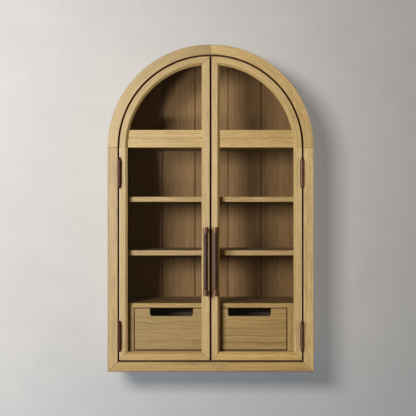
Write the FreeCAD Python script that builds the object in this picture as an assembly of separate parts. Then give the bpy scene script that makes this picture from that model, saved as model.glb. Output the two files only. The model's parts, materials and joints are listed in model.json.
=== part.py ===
import FreeCAD, Part
import math
import os

# Arched wall cabinet: two inset glazed doors in a face frame, shelves, and two drawers below.
# Design coordinates: x from the centre line, y from the front face back to the wall, z up from the underside.
# Every solid is moved at the end so that the origin is the middle of the hanging screws, on the wall plane.

V = FreeCAD.Vector

# ---------------------------------------------------------------- driving dimensions, mm
WIDTH = 764.0            # outer width, and twice the outer radius of the arch
DEPTH = 305.0            # front face to wall
SPRING = 831.0           # height of the arch's centre
R_OUT = WIDTH / 2        # 382
FRAME_W = 37.5           # face frame stile and arch width
FRAME_BOT = 36.3         # face frame bottom rail height
FRAME_T = 24.0           # face frame and door thickness
OPEN_R = R_OUT - FRAME_W  # 344.5, half width of the door opening
STOP_R = OPEN_R - 8.0    # 336.5, inner edge of the rebate that the doors close against
STOP_Y = FRAME_T + 0.5
STOP_BACK = 37.95
PANEL_T = 19.0           # carcass sides, arch and shelves
INSIDE = R_OUT - PANEL_T  # 363, inner half width of the carcass

GAP = 6.0                # reveal around the doors
DOOR_R = OPEN_R - GAP    # 338.5
DOOR_IN = 3.2            # meeting edge, half the gap between the doors
DOOR_BOT = FRAME_BOT + GAP  # 42.3
MEMBER = 30.0            # door member width
FLAT = 22.0              # flat front of a door member before its bevel
BEVEL_Y = 9.0            # depth of the bevel at the sight line
LIP_Y = 14.0             # front of the glass
RABBET = 8.0             # glass rabbet width
GLASS_T = 3.0
GLASS_CLEAR = 1.0
SIGHT_R = DOOR_R - MEMBER     # 308.5
SIGHT_IN = DOOR_IN + MEMBER   # 33.2
SIGHT_BOT = DOOR_BOT + MEMBER  # 72.3
LOW_RAIL, TOP_RAIL = 34.0, 31.0  # heights of the two stacked cross rails
RAIL_Y = 11.0            # front of the cross rails
RAIL_Z0 = SPRING + 1
RAIL_Z1 = RAIL_Z0 + LOW_RAIL
RAIL_Z2 = RAIL_Z1 + TOP_RAIL

BACK_Y = 275.0           # front of the back boards
BACK_T = 12.0
BOARD_PITCH = 133.0
BOARD_SHIFT = 5.0        # the row of boards stands a little right of centre
SHELF_Y = 38.0           # front edge of the shelves
SHELF_BACK = 274.5
ARCH_SHELF_Z = 836.0     # undersides of the shelves
UPPER_SHELF_Z = 630.0
LOWER_SHELF_Z = 429.0
DECK_Z0, DECK_Z1 = 232.5, 250.0
FLOOR_Z0, FLOOR_Z1 = 53.0, 72.0
BOTTOM_Z0, BOTTOM_Z1 = 18.0, 37.0

HANG_Z = 885.0           # hanging screws
LOWER_Z = 150.0          # lower wall screws
STUD = 406.4             # wall stud spacing
WALL_SCREW_R = 3.25

DRAWER_X0, DRAWER_X1 = 7.8, 284.9
DRAWER_Z0, DRAWER_Z1 = 75.8, 230.2
BAY_X = 288.0
DRAWER_Y0 = 38.5
DRAWER_FRONT_T = 16.0
DRAWER_BACK_Y = 262.0
SLOT_W, SLOT_H, SLOT_R = 162.0, 29.5, 10.0

PIN_X, PIN_Y = 337.4, -6.7    # hinge pin axis, over the door's edge
KNUCKLE_R = 6.5
HINGE_H = 92.0
KNUCKLE_H = 14.6              # half height of the middle knuckle
HINGE_Z = (133.0, 736.9)      # hinge centres
LEAF_T = 1.7
PIN_R, PIN_BORE_R = 2.5, 2.55

HANDLE_X, HANDLE_Y = 18.2, -34.0
HANDLE_Z0, HANDLE_Z1 = 284.0, 537.0
CAP_R, CAP_L = 9.75, 22.5
CORE_R, GRIP_R = 7.9, 9.2
POST_R = 4.75
POST_SPACING = 230.0

nodes = {}


def add(name, *solids):
    nodes[name] = list(solids)


# ---------------------------------------------------------------- helpers
def box(x0, x1, y0, y1, z0, z1):
    return Part.makeBox(x1 - x0, y1 - y0, z1 - z0, V(x0, y0, z0))


def cyl(p, d, r, length):
    return Part.makeCylinder(r, length, V(*p), V(*d))


def outline(points, place):
    """A closed wire through 2-D points (u, v, radius), each corner rounded by its radius."""
    n = len(points)
    ends = []
    for i in range(n):
        u, v, r = points[i]
        if r <= 0:
            ends.append(((u, v), None, (u, v)))
            continue
        pu, pv = points[i - 1][:2]
        qu, qv = points[(i + 1) % n][:2]
        a = (pu - u, pv - v)
        b = (qu - u, qv - v)
        la, lb = math.hypot(*a), math.hypot(*b)
        a = (a[0] / la, a[1] / la)
        b = (b[0] / lb, b[1] / lb)
        half = math.acos(max(-1.0, min(1.0, a[0] * b[0] + a[1] * b[1]))) / 2
        t = r / math.tan(half)
        m = (a[0] + b[0], a[1] + b[1])
        lm = math.hypot(*m)
        m = (m[0] / lm, m[1] / lm)
        mid = r / math.sin(half) - r
        ends.append((
            (u + a[0] * t, v + a[1] * t),
            (u + m[0] * mid, v + m[1] * mid),
            (u + b[0] * t, v + b[1] * t),
        ))
    edges = []
    for i in range(n):
        p_in, mid, p_out = ends[i]
        if mid is not None:
            edges.append(Part.Arc(place(*p_in), place(*mid), place(*p_out)).toShape())
        nxt = ends[(i + 1) % n][0]
        if math.hypot(nxt[0] - p_out[0], nxt[1] - p_out[1]) > 1e-6:
            edges.append(Part.LineSegment(place(*p_out), place(*nxt)).toShape())
    return Part.Wire(edges)


def prism(points, place, along):
    pts = [p if len(p) == 3 else (p[0], p[1], 0) for p in points]
    return Part.Face(outline(pts, place)).extrude(V(*along))


def xz_prism(points, y0, y1):
    """A prism with its outline in the x-z plane, from y0 to y1."""
    return prism(points, lambda u, v: V(u, y0, v), (0, y1 - y0, 0))


def column(points, z0, z1):
    """A vertical member with its section in the x-y plane."""
    return prism(points, lambda u, v: V(u, v, z0), (0, 0, z1 - z0))


def lath(points, x0, x1):
    """A horizontal member along x with its section in the (z, y) plane, given as (z, y, radius)."""
    return prism(points, lambda u, v: V(x0, v, u), (x1 - x0, 0, 0))


def ring(points, degrees):
    """A curved member about the arch's centre, from the +x side upwards; section given as (radius, y, edge radius)."""
    pts = [p if len(p) == 3 else (p[0], p[1], 0) for p in points]
    face = Part.Face(outline(pts, lambda u, v: V(u, v, SPRING)))
    return face.revolve(V(0, 0, SPRING), V(0, -1, 0), degrees)


def turned(p, d, points):
    """A turned solid: points (distance along the axis, radius), closed along the axis."""
    poly = [V(r, 0, s) for s, r in points]
    poly = [V(0, 0, points[0][0])] + poly + [V(0, 0, points[-1][0])]
    clean = [poly[0]]
    for q in poly[1:]:
        if q.distanceToPoint(clean[-1]) > 1e-7:
            clean.append(q)
    clean.append(clean[0])
    s = Part.Face(Part.makePolygon(clean)).revolve(V(0, 0, 0), V(0, 0, 1), 360)
    z = V(0, 0, 1)
    d = V(*d)
    d.normalize()
    s.Placement = FreeCAD.Placement(V(*p), FreeCAD.Rotation(z, d))
    return s


def flip(s):
    return s.mirror(V(0, 0, 0), V(1, 0, 0))


def ease(s, r, test):
    """Round the edges whose middle and length pass the test."""
    picked = []
    for e in s.Edges:
        b = e.BoundBox
        if test(b):
            picked.append(e)
    return s.makeFillet(r, picked) if picked else s


def at_front(y):
    return lambda b: abs(b.YMin - y) < 1e-4 and abs(b.YMax - y) < 1e-4


def long_front(y):
    return lambda b: abs(b.YMin - y) < 1e-4 and abs(b.YMax - y) < 1e-4 and b.XMax - b.XMin > 60


def v_joint(p0, p1, w, y=0.0):
    """The small V cut along a joint line in the front face, to be cut from both members."""
    dx, dz = p1[0] - p0[0], p1[1] - p0[1]
    length = math.hypot(dx, dz)
    dx, dz = dx / length, dz / length
    nx, nz = -dz, dx
    e = 2.0
    ox, oz = p0[0] - dx * e, p0[1] - dz * e
    a = V(ox + nx * (w + 1), y - 1, oz + nz * (w + 1))
    b = V(ox - nx * (w + 1), y - 1, oz - nz * (w + 1))
    c = V(ox, y + w, oz)
    face = Part.Face(Part.makePolygon([a, b, c, a]))
    return face.extrude(V(dx * (length + 2 * e), 0, dz * (length + 2 * e)))


def inside(off, y0, y1, z0):
    """The arched space inside the carcass, drawn in by off all round, from z0 up."""
    a = INSIDE - off
    wire = Part.Wire([
        Part.LineSegment(V(-a, y0, z0), V(a, y0, z0)).toShape(),
        Part.LineSegment(V(a, y0, z0), V(a, y0, SPRING)).toShape(),
        Part.Arc(V(a, y0, SPRING), V(0, y0, SPRING + a), V(-a, y0, SPRING)).toShape(),
        Part.LineSegment(V(-a, y0, SPRING), V(-a, y0, z0)).toShape(),
    ])
    return Part.Face(wire).extrude(V(0, y1 - y0, 0))


def disc(r, y0, y1):
    return Part.makeCylinder(r, y1 - y0, V(0, y0, SPRING), V(0, 1, 0))


def screw(p, d, head_r, head_h, shank_r, length, clear=0.0):
    """A countersunk screw with a pointed end; with clear it is its hole."""
    c = clear
    tip = shank_r * 2.2
    return turned(p, d, [
        (-0.3 if c else 0.0, head_r + c), (0.15, head_r + c), (head_h, shank_r + c),
        (length - tip, shank_r + c), (length + c, 0.02),
    ])


# ---------------------------------------------------------------- carcass
side = column([(INSIDE, FRAME_T), (R_OUT, FRAME_T, 0.8), (R_OUT, DEPTH, 1.5), (INSIDE, DEPTH)], 0, SPRING)
PIN_HOLE_Y = (75.0, 240.0)
SHELF_PIN_R = 2.45
pin_z = [z - SHELF_PIN_R - 0.05 for z in (LOWER_SHELF_Z, UPPER_SHELF_Z)]
for z in pin_z:
    for y in PIN_HOLE_Y:
        side = side.cut(cyl((INSIDE - 1, y, z), (1, 0, 0), SHELF_PIN_R + 0.05, 11))
add("carcass_right_side", side)
add("carcass_left_side", flip(side))
add("carcass_arch", ring([(INSIDE, FRAME_T), (R_OUT, FRAME_T, 0.8), (R_OUT, DEPTH, 1.5), (INSIDE, DEPTH)], 180))
add("carcass_bottom", box(-INSIDE, INSIDE, FRAME_T, BACK_Y - 0.2, BOTTOM_Z0, BOTTOM_Z1))

# tongue-and-groove back boards, cut to the arch
room = inside(0.3, BACK_Y - 5, BACK_Y + BACK_T + 5, BOTTOM_Z0)
joints_x = [BOARD_SHIFT + (k - 2.5) * BOARD_PITCH for k in range(6)]
bounds_x = [-INSIDE + 0.3] + joints_x + [INSIDE - 0.3]
y0, y1 = BACK_Y, BACK_Y + BACK_T
boards = []
wall_holes = [(sx * STUD / 2, z) for z in (HANG_Z, LOWER_Z) for sx in (-1, 1)]
for i in range(len(bounds_x) - 1):
    xl, xr = bounds_x[i], bounds_x[i + 1]
    pts = []
    if i > 0:
        xl += 0.4
        pts += [(xl + 5.5, y0 + 8.8), (xl + 5.5, y0 + 4.2), (xl, y0 + 4.2), (xl, y0 + 3.2), (xl + 2.2, y0)]
    else:
        pts += [(xl, y0)]
    if i < len(bounds_x) - 2:
        xr -= 0.4
        pts += [(xr - 2.2, y0), (xr, y0 + 3.2), (xr, y0 + 4.5), (xr + 5.2, y0 + 4.5), (xr + 5.2, y0 + 8.5), (xr, y0 + 8.5), (xr, y1 - 1.0), (xr - 1.0, y1)]
    else:
        pts += [(xr, y0), (xr, y1)]
    if i > 0:
        pts += [(xl + 1.0, y1), (xl, y1 - 1.0), (xl, y0 + 8.8)]
    else:
        pts += [(xl, y1)]
    b = column(pts, BOTTOM_Z0, SPRING + INSIDE).common(room)
    for x, z in wall_holes:
        if xl - 10 < x < xr + 10:
            b = b.cut(cyl((x, y0 - 1, z), (0, 1, 0), WALL_SCREW_R, BACK_T + 2))
    boards += b.Solids
add("back_boards", *boards)


def wall_rail(z_mid):
    r = box(-INSIDE, INSIDE, BACK_Y + BACK_T, DEPTH, z_mid - 45, z_mid + 45)
    r = r.common(inside(0.3, BACK_Y, DEPTH + 5, 0))
    for sx in (-1, 1):
        r = r.cut(cyl((sx * STUD / 2, BACK_Y, z_mid), (0, 1, 0), WALL_SCREW_R, 40))
    return r


add("hanging_rail", wall_rail(HANG_Z))
add("lower_wall_rail", wall_rail(LOWER_Z))

# ---------------------------------------------------------------- face frame
sect = [(OPEN_R, 0, 1.6), (R_OUT, 0, 2.8), (R_OUT, FRAME_T, 0.8), (INSIDE - 0.1, FRAME_T), (INSIDE - 0.1, STOP_BACK),
        (STOP_R, STOP_BACK, 1.5), (STOP_R, STOP_Y, 0.8), (OPEN_R, STOP_Y)]
ffs = column(sect, 0, SPRING)
ffs = ffs.cut(box(STOP_R - 5, INSIDE + 0.1, FRAME_T, STOP_BACK + 5, -5, BOTTOM_Z1 + 0.05))
slope = FRAME_BOT / FRAME_W
corner_cut = [(R_OUT + 5, -5 * slope), (STOP_R - 5, FRAME_BOT + (OPEN_R - STOP_R + 5) * slope), (STOP_R - 5, -5 * slope - 5), (R_OUT + 5, -5 * slope - 5)]
ffs = ffs.cut(xz_prism(corner_cut, -5, FRAME_T))
ffs = ffs.cut(box(STOP_R - 5, OPEN_R, FRAME_T - 0.01, STOP_Y, -5, BOTTOM_Z1 + 0.05))
mitre_v = v_joint((R_OUT, 0), (OPEN_R, FRAME_BOT), 1.1)
spring_v = v_joint((OPEN_R, SPRING), (R_OUT, SPRING), 1.1)
ffs = ffs.cut(mitre_v).cut(spring_v)
# hinge screws in the face frame
frame_screw_pts = [(z + dz, 11.0) for z in HINGE_Z for dz in (-30, 0, 30)]
for z, y in frame_screw_pts:
    ffs = ffs.cut(screw((OPEN_R - LEAF_T, y, z), (1, 0, 0), 3.3, LEAF_T, 1.6, 16, 0.05))
add("face_frame_right_stile", ffs)
add("face_frame_left_stile", flip(ffs))

ffr = lath([(0, 0, 2.8), (FRAME_BOT, 0, 1.6), (FRAME_BOT, FRAME_T), (0, FRAME_T, 0.8)], -R_OUT, R_OUT)
rail_cut = [(R_OUT + 5, -5 * slope), (OPEN_R - 5, FRAME_BOT + 5 * slope), (R_OUT + 5, FRAME_BOT + 5 * slope)]
tool = xz_prism(rail_cut, -5, FRAME_T + 5)
ffr = ffr.cut(tool).cut(flip(tool)).cut(mitre_v).cut(flip(mitre_v))
add("face_frame_bottom_rail", ffr)

ffa = ring(sect, 90)
top_v = v_joint((0, SPRING + OPEN_R), (0, SPRING + R_OUT), 1.1)
ffa = ffa.cut(spring_v).cut(top_v)
add("face_frame_right_arch", ffa)
add("face_frame_left_arch", flip(ffa))

# a slim post behind the meeting stiles, which both doors close towards
stop_bar = box(-4.6, 4.6, 26.0, STOP_BACK, BOTTOM_Z1 + 0.05, SPRING + STOP_R - 0.3)
add("door_stop_bar", ease(stop_bar, 1.0, lambda b: at_front(26.0)(b) and b.ZMax - b.ZMin > 60))

# ---------------------------------------------------------------- shelves and drawer bay
shelf_room = inside(0.3, 0, DEPTH, 0)
arch_shelf = box(-INSIDE, INSIDE, SHELF_Y, SHELF_BACK, ARCH_SHELF_Z, ARCH_SHELF_Z + PANEL_T).common(shelf_room)
arch_shelf = ease(arch_shelf, 1.2, long_front(SHELF_Y))
CATCH_Y0, CATCH_Y1 = 25.5, 62.0
CATCH_X0, CATCH_X1 = 5.0, 31.0
CATCH_Z0 = ARCH_SHELF_Z - 13
catch_screws = []
catches = []
for s in (-1, 1):
    body = box(CATCH_X0, CATCH_X1, CATCH_Y0, CATCH_Y1, CATCH_Z0, ARCH_SHELF_Z)
    body = ease(body, 1.0, lambda b: abs(b.ZMin - CATCH_Z0) < 1e-4 and abs(b.ZMax - CATCH_Z0) < 1e-4)
    for y in (47.0, 56.0):
        p = (18.0, y, CATCH_Z0)
        body = body.cut(screw(p, (0, 0, 1), 2.8, 2.0, 1.3, 22, 0.05))
        sc = screw(p, (0, 0, 1), 2.8, 2.0, 1.3, 22)
        hole = screw(p, (0, 0, 1), 2.8, 2.0, 1.3, 22, 0.05)
        if s < 0:
            sc, hole = flip(sc), flip(hole)
        catch_screws.append(sc)
        arch_shelf = arch_shelf.cut(hole)
    catches.append(body if s > 0 else flip(body))
add("arch_shelf", arch_shelf)
add("magnetic_catches", *catches)


def loose_shelf(z):
    s = box(-INSIDE + 1.5, INSIDE - 1.5, SHELF_Y, SHELF_BACK, z, z + PANEL_T)
    return ease(s, 1.2, long_front(SHELF_Y))


add("loose_shelves", loose_shelf(LOWER_SHELF_Z), loose_shelf(UPPER_SHELF_Z))
pins = []
for z in pin_z:
    for y in PIN_HOLE_Y:
        p = turned((INSIDE - 8, y, z), (1, 0, 0), [
            (0, SHELF_PIN_R - 0.5), (0.5, SHELF_PIN_R), (6.9, SHELF_PIN_R), (6.9, 3.6), (8.0, 3.6), (8.0, SHELF_PIN_R), (17.0, SHELF_PIN_R),
        ])
        pins += [p, flip(p)]
add("shelf_pins", *pins)

deck = box(-INSIDE + 0.3, INSIDE - 0.3, SHELF_Y, SHELF_BACK, DECK_Z0, DECK_Z1)
add("drawer_bay_top", ease(deck, 1.2, long_front(SHELF_Y)))
add("drawer_bay_floor", box(-INSIDE + 0.3, INSIDE - 0.3, SHELF_Y, SHELF_BACK, FLOOR_Z0, FLOOR_Z1))
add("drawer_bay_sill", box(-INSIDE + 0.3, INSIDE - 0.3, SHELF_Y, SHELF_Y + PANEL_T, BOTTOM_Z1, FLOOR_Z0))
add("drawer_divider", box(-6, 6, SHELF_Y, SHELF_BACK, FLOOR_Z1, DECK_Z0))
bay_side = box(BAY_X, BAY_X + 15, SHELF_Y + PANEL_T, SHELF_BACK, FLOOR_Z1, DECK_Z0)
add("drawer_bay_sides", flip(bay_side), bay_side)
filler = box(BAY_X, INSIDE - 0.3, SHELF_Y, SHELF_Y + PANEL_T, FLOOR_Z1, DECK_Z0)
filler = ease(filler, 1.0, lambda b: at_front(SHELF_Y)(b) and abs(b.XMin - BAY_X) < 1e-4 and abs(b.XMax - BAY_X) < 1e-4)
add("drawer_fillers", flip(filler), filler)

# ---------------------------------------------------------------- doors (built on the right, mirrored for the left)
LIP_T = LIP_Y


def member(outer, inner):
    """Section of a door member between its outer edge and its sight line, as (u, y, radius)."""
    s = 1 if inner > outer else -1
    return [
        (outer, 0, 1.8), (outer + s * FLAT, 0), (inner, BEVEL_Y, 0.6), (inner, LIP_Y),
        (inner - s * RABBET, LIP_Y), (inner - s * RABBET, FRAME_T), (outer + s * 0.9, FRAME_T), (outer, FRAME_T - 0.9),
    ]


def door():
    p = {}
    # mitre lines: the two bottom corners and the top corner
    low_out = ((DOOR_R, DOOR_BOT), (SIGHT_R, SIGHT_BOT))
    low_in = ((DOOR_IN, DOOR_BOT), (SIGHT_IN, SIGHT_BOT))
    top_out = (DOOR_IN, SPRING + math.sqrt(DOOR_R ** 2 - DOOR_IN ** 2))
    top_in = (SIGHT_IN, SPRING + math.sqrt(SIGHT_R ** 2 - SIGHT_IN ** 2))

    def beyond(a, b, t):
        return (a[0] + (b[0] - a[0]) * t, a[1] + (b[1] - a[1]) * t)

    ya, yb = -2, FRAME_T + 2
    # hinge stile
    hs = column(member(DOOR_R, SIGHT_R), DOOR_BOT - 3, SPRING)
    a, b = beyond(*low_out, -0.3), beyond(*low_out, 1.3)
    hs = hs.cut(xz_prism([a, b, (b[0], a[1] - 9), (a[0], a[1] - 9)], ya, yb))
    # meeting stile
    ms = column(member(DOOR_IN, SIGHT_IN), DOOR_BOT - 3, SPRING + DOOR_R + 3)
    a, b = beyond(*low_in, -0.3), beyond(*low_in, 1.3)
    ms = ms.cut(xz_prism([a, b, (b[0], a[1] - 9), (a[0], a[1] - 9)], ya, yb))
    a, b = beyond(top_out, top_in, -0.3), beyond(top_out, top_in, 1.3)
    ms = ms.cut(xz_prism([a, b, (b[0] + 2, a[1] + 20), (a[0], a[1] + 20)], ya, yb))
    # bottom rail
    br = lath([(u, v, r) for u, v, r in [q if len(q) == 3 else (q[0], q[1], 0) for q in member(DOOR_BOT, SIGHT_BOT)]], 0, DOOR_R + 2)
    a, b = beyond(*low_out, -0.3), beyond(*low_out, 1.3)
    br = br.cut(xz_prism([a, b, (a[0], b[1])], ya, yb))
    a, b = beyond(*low_in, -0.3), beyond(*low_in, 1.3)
    br = br.cut(xz_prism([a, b, (a[0], b[1])], ya, yb))
    # arch rail
    ar = ring(member(DOOR_R, SIGHT_R), 92)
    a, b = beyond(top_out, top_in, -0.4), beyond(top_out, top_in, 1.4)
    ar = ar.cut(xz_prism([a, b, (b[0], b[1] - 60), (a[0] - 30, b[1] - 60), (a[0] - 30, a[1])], ya, yb))
    joints = [
        v_joint(*low_out, 0.9), v_joint(*low_in, 0.9), v_joint(top_out, top_in, 0.9),
        v_joint((DOOR_R, SPRING), (SIGHT_R, SPRING), 0.9),
    ]
    hs = hs.cut(joints[0]).cut(joints[3])
    ms = ms.cut(joints[1]).cut(joints[2])
    br = br.cut(joints[0]).cut(joints[1])
    ar = ar.cut(joints[2]).cut(joints[3])

    # two stacked cross rails: the front lip reaches the sight lines, the body fills the glass rabbets
    rails = []
    for k in range(2):
        z0, z1 = ((RAIL_Z0, RAIL_Z1), (RAIL_Z1, RAIL_Z2))[k]
        if k == 0:
            sec = [(z0, RAIL_Y, 1.2), (z1, RAIL_Y, 1.6), (z1, FRAME_T), (z0 + RABBET, FRAME_T), (z0 + RABBET, LIP_Y), (z0, LIP_Y)]
        else:
            sec = [(z0, RAIL_Y, 1.6), (z1, RAIL_Y, 1.2), (z1, LIP_Y), (z1 - RABBET, LIP_Y), (z1 - RABBET, FRAME_T), (z0, FRAME_T)]
        body = lath(sec, SIGHT_IN - RABBET, DOOR_R)
        front = body.common(box(SIGHT_IN, DOOR_R, 0, LIP_Y, z0 - 1, z1 + 1)).common(disc(SIGHT_R, 0, LIP_Y))
        rear = body.common(box(SIGHT_IN - RABBET, DOOR_R, LIP_Y, FRAME_T, z0 - 1, z1 + 1)).common(disc(SIGHT_R + RABBET, LIP_Y, FRAME_T))
        r = front.fuse(rear).removeSplitter()
        # small nick where the seam meets the stiles
        zs = RAIL_Z1
        for x, sx in ((SIGHT_IN, 1), (math.sqrt(SIGHT_R ** 2 - (RAIL_Z1 - SPRING) ** 2), -1)):
            r = r.cut(xz_prism([(x - sx * 1, zs - 3.0), (x + sx * 9.5, zs), (x - sx * 1, zs + 3.0)], RAIL_Y - 1, RAIL_Y + 2.4))
        rails += r.Solids
    p["cross_rails"] = rails

    # glass, held back from the rabbets
    gx0, gx1 = SIGHT_IN - RABBET + GLASS_CLEAR, SIGHT_R + RABBET - GLASS_CLEAR
    gy0, gy1 = LIP_Y + 0.05, LIP_Y + 0.05 + GLASS_T
    low = box(gx0, gx1, gy0, gy1, SIGHT_BOT - RABBET + GLASS_CLEAR, RAIL_Z0 + RABBET - GLASS_CLEAR)
    up = box(gx0, DOOR_R, gy0, gy1, RAIL_Z2 - RABBET + GLASS_CLEAR, SPRING + DOOR_R).common(disc(gx1, gy0, gy1))
    p["lower_glass"] = [low]
    p["upper_glass"] = [up]

    # glazing beads behind the glass
    by0, by1 = gy1 + 0.05, FRAME_T - 0.2
    c = 0.2
    xi0, xi1 = SIGHT_IN - RABBET + c, SIGHT_IN - 0.3
    xo0, xo1 = SIGHT_R + 0.3, SIGHT_R + RABBET - c
    zb0, zb1 = SIGHT_BOT - RABBET + c, SIGHT_BOT - 0.3
    zt0, zt1 = RAIL_Z0 + 0.3, RAIL_Z0 + RABBET - c
    zu0, zu1 = RAIL_Z2 - RABBET + c, RAIL_Z2 - 0.3
    rr = 1.8
    beads = [
        column([(xi0, by0), (xi1, by0), (xi1, by1, rr), (xi0, by1)], zb0, zt1),
        column([(xo0, by0), (xo1, by0), (xo1, by1), (xo0, by1, rr)], zb0, zt1).common(
            box(0, DOOR_R, 0, FRAME_T, 0, SPRING).fuse(disc(xo1, 0, FRAME_T))),
        lath([(zb0, by0), (zb1, by0), (zb1, by1, rr), (zb0, by1)], xi1 + c, xo0 - c),
        lath([(zt0, by0), (zt1, by0), (zt1, by1), (zt0, by1, rr)], xi1 + c, xo0 - c),
    ]
    up_in = column([(xi0, by0), (xi1, by0), (xi1, by1, rr), (xi0, by1)], zu0, SPRING + SIGHT_R + RABBET)
    up_in = up_in.common(disc(SIGHT_R + RABBET - c, 0, FRAME_T))
    arc = ring([(xo0, by0), (xo1, by0), (xo1, by1), (xo0, by1, rr)], 90)
    arc = arc.cut(box(-1, xi1 + c, 0, FRAME_T, SPRING, SPRING + DOOR_R)).cut(box(0, DOOR_R, 0, FRAME_T, SPRING - 1, zu0))
    low_bead = lath([(zu0, by0), (zu1, by0), (zu1, by1, rr), (zu0, by1)], xi1 + c, SIGHT_R)
    low_bead = low_bead.common(disc(xo0 - c, 0, FRAME_T))
    beads += [up_in, arc, low_bead]
    p["glazing_beads"] = [q for b in beads for q in b.Solids]

    # hinge leaves on the door, with the middle knuckle
    leaves, screws = [], []
    for zc in HINGE_Z:
        plate = box(DOOR_R, DOOR_R + LEAF_T, 0.1, 22, zc - HINGE_H / 2, zc + HINGE_H / 2)
        web = box(DOOR_R, DOOR_R + LEAF_T, PIN_Y + 1, 0.1, zc - KNUCKLE_H, zc + KNUCKLE_H)
        knuckle = cyl((PIN_X, PIN_Y, zc - KNUCKLE_H), (0, 0, 1), KNUCKLE_R, 2 * KNUCKLE_H)
        leaf = plate.fuse(web).fuse(knuckle).removeSplitter()
        leaf = leaf.cut(cyl((PIN_X, PIN_Y, zc - 50), (0, 0, 1), PIN_BORE_R, 100))
        for dz in (-30, 0, 30):
            q = (DOOR_R + LEAF_T, 11.0, zc + dz)
            hole = screw(q, (-1, 0, 0), 3.3, LEAF_T, 1.6, 16, 0.05)
            leaf = leaf.cut(hole)
            hs = hs.cut(hole)
            screws.append(screw(q, (-1, 0, 0), 3.3, LEAF_T, 1.6, 16))
        leaves.append(leaf)
    p["hinge_leaves"] = leaves

    # strike plate for the magnetic catch, on the back of the meeting stile
    sz0, sz1 = ARCH_SHELF_Z - 16, ARCH_SHELF_Z - 1
    strike = box(6, 26, FRAME_T, FRAME_T + 1.2, sz0, sz1)
    strike = ease(strike, 2.0, lambda b: b.YMax - b.YMin > 1.0 and b.XMax - b.XMin < 1e-4 and b.ZMax - b.ZMin < 1e-4)
    q = (15.0, FRAME_T + 1.2, (sz0 + sz1) / 2)
    hole = screw(q, (0, -1, 0), 2.4, 1.2, 1.2, 12, 0.05)
    strike = strike.cut(hole)
    ms = ms.cut(hole)
    screws.append(screw(q, (0, -1, 0), 2.4, 1.2, 1.2, 12))
    p["strike_plate"] = [strike]

    # pull: a metal bar with end caps, a wrapped grip, two posts screwed from behind
    length = HANDLE_Z1 - HANDLE_Z0

    def cap(sign):
        pts = [(0, CAP_R - 1.6), (0.45, CAP_R - 0.75), (1.3, CAP_R - 0.1), (1.9, CAP_R), (CAP_L - 3.4, CAP_R),
               (CAP_L - 3.2, CAP_R - 0.35), (CAP_L - 2.6, CAP_R - 0.35), (CAP_L - 2.4, CAP_R + 0.1), (CAP_L - 0.5, CAP_R + 0.1), (CAP_L, CAP_R - 0.3)]
        return pts
    prof = cap(1) + [(CAP_L, CORE_R), (length - CAP_L, CORE_R)] + [(length - s, r) for s, r in reversed(cap(1))]
    bar = turned((HANDLE_X, HANDLE_Y, HANDLE_Z0), (0, 0, 1), prof)
    zc = (HANDLE_Z0 + HANDLE_Z1) / 2
    posts = []
    for dz in (-POST_SPACING / 2, POST_SPACING / 2):
        post = turned((HANDLE_X, 0, zc + dz), (0, -1, 0), [
            (0, 6.6), (1.2, 6.6), (1.8, 6.0), (2.6, POST_R), (-HANDLE_Y, POST_R)])
        post = post.cut(cyl((HANDLE_X, HANDLE_Y, zc + dz - 20), (0, 0, 1), CAP_R, 40))
        post = post.cut(cyl((HANDLE_X, 1, zc + dz), (0, -1, 0), 2.05, 16))
        posts += sorted(post.Solids, key=lambda s: -s.Volume)[:1]
        ms = ms.cut(cyl((HANDLE_X, -1, zc + dz), (0, 1, 0), 2.15, 40))
        ms = ms.cut(cyl((HANDLE_X, FRAME_T - 3.2, zc + dz), (0, 1, 0), 4.4, 10))
        sc = turned((HANDLE_X, FRAME_T - 0.4, zc + dz), (0, -1, 0), [
            (0, 3.2), (0.5, 3.8), (2.8, 3.8), (2.8, 2.0), (36.0, 2.0), (37.0, 1.2)])
        sc = sc.cut(box(HANDLE_X - 2.4, HANDLE_X + 2.4, FRAME_T - 1.6, FRAME_T + 1, zc + dz - 0.5, zc + dz + 0.5))
        sc = sc.cut(box(HANDLE_X - 0.5, HANDLE_X + 0.5, FRAME_T - 1.6, FRAME_T + 1, zc + dz - 2.4, zc + dz + 2.4))
        screws.append(sc)
    p["handle_bar"] = [bar]
    p["handle_grip"] = [
        cyl((HANDLE_X, HANDLE_Y, HANDLE_Z0 + CAP_L + 0.2), (0, 0, 1), GRIP_R, length - 2 * CAP_L - 0.4).cut(
            cyl((HANDLE_X, HANDLE_Y, HANDLE_Z0), (0, 0, 1), CORE_R + 0.02, length))]
    p["handle_posts"] = posts
    p["screws"] = screws
    p["hinge_stile"] = [hs]
    p["meeting_stile"] = [ms]
    p["bottom_rail"] = [br]
    p["arch_rail"] = [ar]
    return p


right = door()
for key, solids in right.items():
    add("right_door_" + key, *solids)
    add("left_door_" + key, *[flip(s) for s in solids])

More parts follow.
